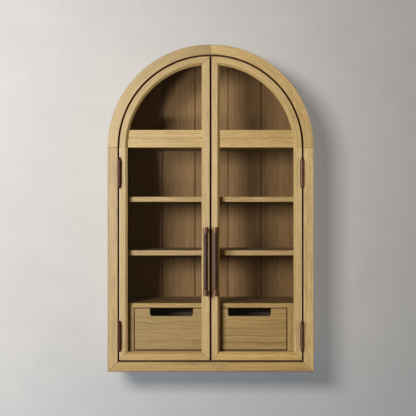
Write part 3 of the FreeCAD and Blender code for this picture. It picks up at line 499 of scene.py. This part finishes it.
def glass(name, seed):
    """Clear float glass with a faint green cast and soft smears."""
    g = Graph(name)
    r = random.Random(seed)
    off = [r.uniform(-4, 4) for _ in range(3)]
    smear = g.noise(g.stretch(g.coord, (9.0, 9.0, 5.0), tuple(off)), 3.0, 0.6, 1.2)
    wave = g.noise(g.stretch(g.coord, (5.0, 5.0, 3.0), tuple(off)), 1.0, 0.5)
    roughness = g.remap(smear, 0.35, 0.75, 0.03, 0.12, "LINEAR")
    colour = g.ramp(smear, [(0.3, (0.010, 0.016, 0.013)), (0.7, (0.030, 0.040, 0.035))])
    return g.finish(Base_Color=colour, Roughness=roughness, Alpha=0.06, Normal=g.bump(wave, 0.0004, 0.3),
                    Specular_IOR_Level=1.0)


def dress(node, material):
    mesh = NODES[node].data
    mesh.materials.clear()
    mesh.materials.append(material)


def seam(x0, z0, x1, z1, reach=1.0):
    """The line through two points of the front, mm from the centre line and from the cabinet's foot."""
    length = math.hypot(x1 - x0, z1 - z0)
    nx, nz = (z1 - z0) / length, -(x1 - x0) / length
    return nx, nz, nx * x0 / 1000 + nz * (z0 / 1000 - 0.885), reach


SPRING_LINE = seam(300, 831, 380, 831)
FOOT_MITRE = seam(382, 0, 344.5, 36.3)
DOOR_MITRE_OUT = seam(338.5, 42.3, 308.5, 72.3)
DOOR_MITRE_IN = seam(3.2, 42.3, 33.2, 72.3)
DOOR_MITRE_TOP = seam(3.2, 1169.48, 33.2, 1137.71, 0.06)
EDGE_F, EDGE_D = 0.3448, 0.3382      # edges of the opening and of the doors

# face frame
WARM = (1.0, 0.965, 0.86)
PINK = (1.02, 1.02, 1.11)
# the right-hand pieces are given higher tones than the left-hand ones, and some are darkened towards the right: painted
# light that evens out the lamp's falloff; the gap edges carry painted shade
dress("face_frame_left_stile", oak("oak_frame_left_stile", "z", 11, 0.97, spacing=0.0034, stripe=(-0.3775, 0.0075, 0.16),
                                   wear_and_highlight=0.3, tint=PINK, joints=[SPRING_LINE, FOOT_MITRE], gaps=[("x", "under", EDGE_F)]))
dress("face_frame_right_stile", oak("oak_frame_right_stile", "z", 17, 1.20, spacing=0.0031, stripe=(0.3720, 0.006, 0.10),
                                    wear_and_highlight=0.3, tint=(1.03, 1.075, 1.20), joints=[SPRING_LINE, FOOT_MITRE], gaps=[("x", "under", EDGE_F)],
                                    shaded_arris=[("x", "over", 0.3797, 0.75)]))
for side, seed, tone in (("left", 13, 0.865), ("right", 14, 1.16)):
    dress(f"face_frame_{side}_arch", oak(f"oak_frame_{side}_arch", "arc", seed, tone, spacing=0.0036, wear_and_highlight=0.3,
                                         falloff_right=0.95 if side == "left" else 0.0,
                                         joints=[SPRING_LINE, (1.0, 0.0, 0.0, 1.0)], gaps=[("r", "under", EDGE_F)],
                                         shaded_arris=[("r", "over", 0.3797, 0.35 if side == "left" else 0.70)]))
dress("face_frame_bottom_rail", oak("oak_frame_bottom_rail", "x", 15, 0.935, spacing=0.0032, tint=WARM, wear_and_highlight=0.3, falloff_right=0.30,
                                    joints=[FOOT_MITRE], gaps=[("z", "over", -0.8490)],
                                    shaded_arris=[("z", "under", -0.8827, 0.70)]))

# doors
for i, side in enumerate(("left", "right")):
    s = 20 + 20 * i
    sgn = -1 if side == "left" else 1
    k = (1.0, 1.08)[i]
    # the right door's pieces are given higher tones than the left door's: painted light against the lamp's falloff to
    # the right; the gap edges carry painted shade and the hinge stile's outer edge a painted highlight
    dress(f"{side}_door_hinge_stile", oak(f"oak_{side}_hinge_stile", "z", s + 1, (0.94, 1.10)[i], tint=((1.0, 1.02, 1.07), (1.0, 1.05, 1.19))[i], gap_shade=0.45,
                                          joints=[DOOR_MITRE_OUT], gaps=[("x", "over", EDGE_D)], beside_gap_shade=(0.0, 0.10)[i],
                                          painted_highlight_edges=[("x", "over", EDGE_D - 0.0036, (0.60, 0.22)[i])]))
    dress(f"{side}_door_meeting_stile", oak(f"oak_{side}_meeting_stile", "z", s + 2, 1.04 * k, tint=((1.02, 1.05, 1.24), (0.95, 0.98, 1.10))[i], gap_shade=0.60,
                                            joints=[DOOR_MITRE_IN, DOOR_MITRE_TOP], gaps=[("x", "under", 0.0035)]))
    dress(f"{side}_door_bottom_rail", oak(f"oak_{side}_bottom_rail", "x", s + 3, (1.04, 1.22)[i], tint=WARM, gap_shade=0.45,
                                          joints=[DOOR_MITRE_OUT, DOOR_MITRE_IN], gaps=[("z", "under", -0.8424)]))
    dress(f"{side}_door_cross_rails", oak(f"oak_{side}_cross_rails", "x", s + 4, 1.0 * k, spacing=0.0034, tint=WARM,
                                          two=(2, -0.019, "x"), notch_shade=(0.0348, 0.3070, -0.0190, 0.0062)))
    dress(f"{side}_door_arch_rail", oak(f"oak_{side}_arch_rail", "arc", s + 5, (0.95, 1.04)[i], spacing=0.0034, gap_shade=0.45,
                                        joints=[DOOR_MITRE_TOP], gaps=[("r", "over", EDGE_D)]))
    dress(f"{side}_door_glazing_beads", oak(f"oak_{side}_beads", "z", s + 6, 0.85, wear_and_highlight=0.4))
    # the right drawer front is given a higher tone, painted light against the falloff; its gaps are painted dark as
    # shade
    dress(f"{side}_drawer_front", oak(f"oak_{side}_drawer_front", "x", s + 7, (0.94, 1.06)[i], "flat", pith=(-1.02, -0.42),
                                      spacing=0.0072, slope=0.022 * sgn, contrast=(0.70, 0.62)[i], tint=(1.0, 0.95, 0.82), wear_and_highlight=0.35, gap_shade=0.75,
                                      wave=(0.026, 0.015)[i], broadly=0.38, rings=0.42,
                                      front=-0.2665, gaps=[("x", "under", 0.0081), ("x", "over", 0.2846), ("z", "under", -0.8089),
                                            ("z", "over", -0.6551)]))
    # drawer box and bottom are kept dark: painted shade inside the drawer, seen through the hand slot
    dress(f"{side}_drawer_box", oak(f"oak_{side}_drawer_box", "y", s + 8, 0.42, colours=INNER, wear_and_highlight=0.3, two=(1, -0.0545, "x")))
    dress(f"{side}_drawer_bottom", oak(f"oak_{side}_drawer_bottom", "x_flat", s + 9, 0.42, "flat", colours=INNER,
                                       pith=(-0.17, -0.95), spacing=0.006, slope=0.1, wear_and_highlight=0.0))

# carcass and inside
LIP = (-0.261, 1.28)
dress("carcass_left_side", oak("oak_left_side", "z_side", 61, 0.97, "flat", pith=(-0.19, -0.30), spacing=0.0062, slope=0.05))
dress("carcass_right_side", oak("oak_right_side", "z_side", 62, 0.97, "flat", pith=(-0.12, 0.32), spacing=0.0062, slope=-0.045))
dress("carcass_arch", oak("oak_carcass_arch", "arc", 63, 0.97, spacing=0.0040))
dress("carcass_bottom", oak("oak_carcass_bottom", "x_flat", 64, 0.95, "flat", pith=(-0.14, -0.96), spacing=0.0065, slope=0.05))
dress("arch_shelf", oak("oak_arch_shelf", "x_flat", 65, 0.95, "flat", colours=INNER, pith=(-0.13, -0.15), spacing=0.006,
                        slope=0.06, lipping=LIP))
# lighter towards the right: painted light
dress("loose_shelves", oak("oak_loose_shelves", "x_flat", 66, 0.95, "flat", colours=INNER, falloff_right=-0.35, pith=(-0.16, -0.62), spacing=0.006,
                           slope=0.05, two=(2, -0.36, "x_flat"), lipping=LIP))
# the edges facing the drawer gaps are painted dark as shade
dress("drawer_bay_top", oak("oak_drawer_bay_top", "x_flat", 67, 0.85, "flat", colours=INNER, pith=(-0.12, -0.75), spacing=0.006,
                            slope=0.05, lipping=(-0.261, 1.28, (1.0, 1.03, 1.75)), tint=(1.0, 0.91, 0.42), front=-0.267, gaps=[("z", "under", -0.6522)]))
dress("drawer_bay_floor", oak("oak_drawer_bay_floor", "x_flat", 68, 0.85, "flat", colours=INNER, pith=(-0.17, -0.92),
                              spacing=0.006, slope=0.05, lipping=(-0.261, 1.05), front=-0.267, gaps=[("z", "over", -0.8134)]))
dress("drawer_bay_sides", oak("oak_drawer_bay_sides", "y", 69, 0.60, colours=INNER, wear_and_highlight=0.2))
dress("drawer_bay_sill", oak("oak_drawer_bay_sill", "x", 70, 0.90, wear_and_highlight=0.3))
dress("drawer_divider", oak("oak_drawer_divider", "y", 71, 0.60, wear_and_highlight=0.3))
# the filler edge facing the drawer gap is painted dark as shade
dress("drawer_fillers", oak("oak_drawer_fillers", "z", 72, 1.08, wear_and_highlight=0.3, tint=(1.0, 0.95, 0.82), front=-0.267, gaps=[("x", "under", 0.2884)]))
# a near-black brown on the stop bar: painted shade for the centre gap between the doors
dress("door_stop_bar", oak("oak_door_stop_bar", "z", 76, 0.20, wear_and_highlight=0.1, tint=(1.25, 0.62, 0.50)))
dress("hanging_rail", oak("oak_hanging_rail", "x", 73, 0.90, wear_and_highlight=0.3))
dress("lower_wall_rail", oak("oak_lower_wall_rail", "x", 74, 0.92, wear_and_highlight=0.3))
# strong darkening in the inner corners and across the boards: painted shade and painted falloff of light
dress("back_boards", oak("oak_back_boards", "z", 75, 1.03, "rift", colours=INNER, spacing=0.0064,
                         contrast=0.62, boards=(-0.3275, 0.133), wear_and_highlight=0.25, rough=0.62, shine=0.3, grime_and_shade=0.8, tint=(1.0, 0.985, 0.92),
                         falloff_across=0.62))

# metal
DARK = ((0.024, 0.0055, 0.0030), (0.058, 0.0175, 0.0098), (0.20, 0.085, 0.054))
# colour gains for bronze right of the centre line: painted light that evens out the lamp's falloff to the right
RIGHT_LIFT = (2.6, 4.2, 5.2)
COPPER = ((0.120, 0.064, 0.042), (0.240, 0.136, 0.094), (0.44, 0.28, 0.20))
dress("hinge_frame_leaves", bronze("bronze_frame_leaves", 81, *DARK, rough=0.50, metallic=0.6, right=RIGHT_LIFT))
dress("hinge_pins", bronze("bronze_hinge_pins", 82, *DARK, rough=0.46, metallic=0.6, turned=True, right=RIGHT_LIFT))
dress("cabinet_screws", zinc("zinc_cabinet_screws", 83))
dress("shelf_pins", zinc("zinc_shelf_pins", 85))
dress("magnetic_catches", moulded("brown_catches", 86))
for i, side in enumerate(("left", "right")):
    dress(f"{side}_door_handle_bar", bronze(f"bronze_{side}_bar", 90 + i, *COPPER, rough=0.46, turned=True))
    dress(f"{side}_door_handle_posts", bronze(f"bronze_{side}_posts", 92 + i, *COPPER, rough=0.40))
    dress(f"{side}_door_hinge_leaves", bronze(f"bronze_{side}_leaves", 94 + i, *DARK, rough=0.50, metallic=0.6, right=RIGHT_LIFT))
    dress(f"{side}_door_screws", zinc(f"zinc_{side}_screws", 96 + i))
    dress(f"{side}_door_strike_plate", bronze(f"bronze_{side}_strike", 98 + i, *DARK, rough=0.52, metallic=0.6))
    dress(f"{side}_door_handle_grip", lace(f"lace_{side}_core", 100 + i))
    dress(f"{side}_door_lower_glass", glass(f"glass_{side}_lower", 102 + i))
    dress(f"{side}_door_upper_glass", glass(f"glass_{side}_upper", 104 + i))


# ---------------------------------------------------------------- the wound grips
def wound_grip(side, seed):
    """A flat leather lace wound tight round the bar in one close helix, its two ends tucked under."""
    lo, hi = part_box(f"{side}_door_handle_grip")
    cx, cy = (lo.x + hi.x) / 2, (lo.y + hi.y) / 2
    r_out = (hi.x - lo.x) / 2 - 0.00005
    r_in = 0.00793
    r = random.Random(seed)
    pitch = 0.00725
    half = pitch / 2
    z0, z1 = lo.z + half, hi.z - half
    turns = (z1 - z0) / pitch
    steps = 40
    n = int(turns * steps)
    hand = 1 if side == "left" else -1
    lift = [r.uniform(-1, 1) for _ in range(int(turns) + 3)]
    verts, faces = [], []
    ring = 10
    for k in range(n + 1):
        t = k / steps
        a = hand * 2 * math.pi * t
        i = int(t)
        mix = t - i
        mix = mix * mix * (3 - 2 * mix)
        wob = lift[i] * (1 - mix) + lift[i + 1] * mix
        tuck = min(1.0, min(k, n - k) / (0.25 * steps))
        tuck = tuck * tuck * (3 - 2 * tuck)
        top = r_in + (r_out - r_in - 0.00012 + 0.00011 * wob) * (0.55 + 0.45 * tuck)
        thick = top - r_in
        zc = z0 + (z1 - z0) * k / n + 0.00010 * wob
        # rounded lace section, listed round the outline
        sect = [(-0.99, 0.0), (-0.95, 0.20), (-0.80, 0.50), (-0.52, 0.80), (-0.19, 0.98), (0.19, 0.98),
                (0.52, 0.80), (0.80, 0.50), (0.95, 0.20), (0.99, 0.0)]
        # the first and the last turn are pared to a wedge that closes against the cap
        below = zc - lo.z if k < steps else half
        above = hi.z - zc if k > n - steps else half
        for sx, sr in sect:
            rad = r_in + thick * sr
            verts.append((cx + rad * math.cos(a), cy + rad * math.sin(a), zc + (above if sx > 0 else below) * 0.985 * sx))
    for k in range(n):
        for j in range(ring):
            a, b = k * ring + j, k * ring + (j + 1) % ring
            faces.append((a, b, b + ring, a + ring))
    faces.append(tuple(range(ring)))
    faces.append(tuple(reversed(range(n * ring, n * ring + ring))))
    mesh = bpy.data.meshes.new(f"{side}_grip_lace")
    mesh.from_pydata(verts, [], faces)
    mesh.validate()
    import bmesh
    bm = bmesh.new()
    bm.from_mesh(mesh)
    bmesh.ops.recalc_face_normals(bm, faces=bm.faces)
    for f in bm.faces:
        f.smooth = True
    bm.to_mesh(mesh)
    bm.free()
    obj = bpy.data.objects.new(f"{side}_grip_lace", mesh)
    bpy.context.scene.collection.objects.link(obj)
    mesh.materials.append(lace(f"lace_{side}", seed + 5, (cx, cy, z0, turns / (z1 - z0), hand)))
    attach(obj, f"{side}_door")
    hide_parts(f"{side}_door_handle_grip")
    return obj


wound_grip("left", 201)
wound_grip("right", 202)


# ---------------------------------------------------------------- room
def plane(name, corners, material):
    mesh = bpy.data.meshes.new(name)
    mesh.from_pydata(corners, [], [tuple(range(len(corners)))])
    mesh.materials.append(material)
    obj = bpy.data.objects.new(name, mesh)
    bpy.context.scene.collection.objects.link(obj)
    return obj


def plaster(name, colour, seed, glow, painted_falloff=None):
    """Painted lime plaster, seen from its front side only, so that the object can be looked at from behind.

    The glow stands for the room's bluish light, which keeps the shadow on the wall open. The colour is graded as
    painted falloff of light: darker to the right and towards the bottom, lighter towards the sides."""
    g = Graph(name)
    r = random.Random(seed)
    off = [r.uniform(-4, 4) for _ in range(3)]
    tone = g.noise(g.stretch(g.coord, (3.4, 3.4, 3.8), tuple(off)), 6.0, 0.66, 0.8)
    skim = g.noise(g.stretch(g.coord, (55.0, 55.0, 55.0), tuple(off)), 3.0, 0.6)
    col = g.ramp(tone, [(0.25, tuple(c * 0.94 for c in colour)), (0.75, tuple(c * 1.055 for c in colour))])
    # painted falloff of light on the wall; the glow is weaker to the right and stronger towards the bottom
    if painted_falloff is not None:
        x, y, z = g.split(g.coord)
        across = g.remap(x, -1.0, 1.0, painted_falloff[0], painted_falloff[1], "LINEAR")
        down = g.remap(z, 0.5, -1.2, 1.0, painted_falloff[2], "LINEAR")
        middle = g.add(0.93, g.mul(g.mul(x, x), 0.12))
        level = g.mul(g.mul(across, down), middle)
        col = g.blend(1.0, col, g.join(level, level, level), "MULTIPLY")
        glow_x = g.remap(x, -1.0, 1.0, 1.10, 0.50, "LINEAR")
        glow_z = g.remap(z, -0.3, -1.0, 1.0, 1.17, "LINEAR")
        air = g.mul(g.mul(glow_x, glow_z), glow)
    p = g.node("ShaderNodeBsdfPrincipled")
    g.put(p.inputs["Base Color"], col)
    p.inputs["Roughness"].default_value = 0.9
    p.inputs["Specular IOR Level"].default_value = 0.2
    g.put(p.inputs["Normal"], g.bump(skim, 0.0006, 0.25))
    if painted_falloff is not None:
        g.put(p.inputs["Emission Color"], tuple(c * k for c, k in zip(colour, (0.86, 1.06, 1.27))))
        g.put(p.inputs["Emission Strength"], air)
    else:
        g.put(p.inputs["Emission Color"], col)
        p.inputs["Emission Strength"].default_value = glow
    clear = g.node("ShaderNodeBsdfTransparent")
    mix = g.node("ShaderNodeMixShader")
    back = g.node("ShaderNodeNewGeometry").outputs["Backfacing"]
    g.put(mix.inputs[0], back)
    g.nt.links.new(p.outputs[0], mix.inputs[1])
    g.nt.links.new(clear.outputs[0], mix.inputs[2])
    g.nt.links.new(mix.outputs[0], g.output.inputs[0])
    return g.mat


WALL_Y = 0.0015
FLOOR_Z = -2.285
wall = plane("room_wall", [(-4.0, WALL_Y, FLOOR_Z), (4.0, WALL_Y, FLOOR_Z), (4.0, WALL_Y, 2.2), (-4.0, WALL_Y, 2.2)],
             plaster("wall_paint", (0.74, 0.722, 0.705), 301, 0.27, (1.10, 0.60, 0.86)))
floor = plane("room_floor", [(-6.0, -7.0, FLOOR_Z), (6.0, -7.0, FLOOR_Z), (6.0, 7.0, FLOOR_Z), (-6.0, 7.0, FLOOR_Z)],
              plaster("floor_paint", (0.70, 0.69, 0.67), 302, 0.12))
for o in (wall, floor):
    o.visible_shadow = False
    o.visible_diffuse = False
    o.visible_glossy = False


# ---------------------------------------------------------------- light and camera
def area(name, place, aim, size, power, colour=(1.0, 1.0, 1.0), tall=None):
    data = bpy.data.lights.new(name, "AREA")
    data.shape = "RECTANGLE"
    data.size = size
    data.size_y = tall or size
    data.energy = power
    data.color = colour
    obj = bpy.data.objects.new(name, data)
    bpy.context.scene.collection.objects.link(obj)
    obj.location = place
    obj.rotation_euler = (Vector(aim) - Vector(place)).to_track_quat("-Z", "Y").to_euler()
    return obj


def spot(name, place, aim, size, angle, power, colour):
    data = bpy.data.lights.new(name, "SPOT")
    data.shadow_soft_size = size
    data.spot_size = math.radians(angle)
    data.spot_blend = 1.0
    data.energy = power
    data.color = colour
    lamp = bpy.data.objects.new(name, data)
    lamp.location = place
    lamp.rotation_euler = (Vector(aim) - Vector(place)).to_track_quat("-Z", "Y").to_euler()
    bpy.context.scene.collection.objects.link(lamp)
    return lamp


def only_on(lamp, name, objects):
    group = bpy.data.collections.new(name)
    for o in objects:
        group.objects.link(o)
    lamp.light_linking.receiver_collection = group


# a window low on the left lights the cabinet, and the same light, seen from further off, the wall
laces = [o for o in bpy.data.objects if o.name.endswith("_grip_lace")]
inner = [n for n in NODES if n == "back_boards"]
frame_parts = [n for n in NODES if n.startswith(("face_frame", "carcass")) or n.endswith("hinge_stile")]
pulls = [n for n in NODES if n.endswith(("handle_bar", "handle_posts", "handle_grip"))]
door_parts = [n for n in NODES if n not in inner and n not in frame_parts and n not in pulls]
white = (1.0, 0.995, 0.985)
only_on(area("window", (-1.44, -2.70, 0.05), (0.0, -0.3, -0.28), 1.10, 62.0, white), "lit_near",
        [NODES[n] for n in frame_parts + door_parts])
only_on(area("window_doors", (-1.44, -2.70, 0.05), (0.0, -0.3, -0.28), 1.10, 31.0, white), "lit_doors",
        [NODES[n] for n in door_parts])
only_on(area("window_pulls", (-2.45, -1.75, 0.75), (0.0, -0.34, -0.47), 0.80, 165.0, (1.0, 0.965, 0.935)), "lit_pulls",
        [NODES[n] for n in pulls] + laces)
only_on(area("pulls_fill", (1.10, -2.60, 0.10), (0.0, -0.34, -0.47), 0.90, 9.0, (1.0, 0.93, 0.86)), "lit_pulls_right",
        [NODES[n] for n in pulls] + laces)
only_on(area("window_far", (-2.30, -5.20, 0.20), (0.0, -0.3, -0.28), 1.30, 76.0, white), "lit_far",
        [NODES[n] for n in frame_parts])
only_on(area("right_fill", (3.0, -1.20, -0.20), (0.0, -0.2, -0.28), 1.20, 30.0, (1.0, 0.96, 0.90)), "lit_right",
        [NODES[n] for n in frame_parts])
only_on(area("window_inside", (-1.83, -2.95, 0.18), (0.0, 0.0, -0.28), 1.00, 127.0, (1.0, 0.97, 0.92), tall=0.85), "lit_back",
        [NODES["back_boards"]])
only_on(spot("window_under_arch", (-0.92, -1.97, -0.45), (-0.112, 0.0, 0.128), 0.20, 11.8, 186.0, (1.0, 0.97, 0.92)), "lit_arch",
        [NODES["back_boards"]])
only_on(area("window_on_wall", (-0.90, -3.10, 0.28), (0.1, 0.0, -0.4), 0.85, 66.5, (1.0, 0.96, 0.915), tall=0.50),
        "lit_room", [wall, floor])
# these stand behind the wall, and are there for the sides, the top and the back
area("behind", (0.3, 3.4, 0.4), (0.0, 0.0, -0.3), 2.0, 60.0, (1.0, 0.99, 0.97))
area("behind_left", (-3.0, 0.7, 0.5), (-0.38, -0.15, -0.3), 1.4, 40.0, (1.0, 0.99, 0.97))
area("behind_right", (3.0, 0.7, 0.5), (0.38, -0.15, -0.3), 1.4, 40.0, (1.0, 0.99, 0.97))
area("behind_top", (0.0, 0.9, 3.0), (0.0, -0.15, 0.2), 1.4, 40.0, (1.0, 0.99, 0.97))

world = bpy.data.worlds.new("room")
world.use_nodes = True
world.node_tree.nodes["Background"].inputs["Color"].default_value = (1.03, 0.63, 0.17, 1.0)
world.node_tree.nodes["Background"].inputs["Strength"].default_value = 0.105
bpy.context.scene.world = world

cam = bpy.data.cameras.new("camera")
cam.sensor_width = 36.0
cam.lens = 72.64
cam.clip_start = 0.02
cam.clip_end = 60.0
eye = bpy.data.objects.new("camera", cam)
eye.location = (-0.0097, -3.415, -0.2781)
eye.rotation_euler = (math.pi / 2, 0.0, 0.0)
bpy.context.scene.collection.objects.link(eye)
bpy.context.scene.camera = eye
bpy.context.scene.view_settings.view_transform = "Standard"
bpy.context.scene.view_settings.look = "None"
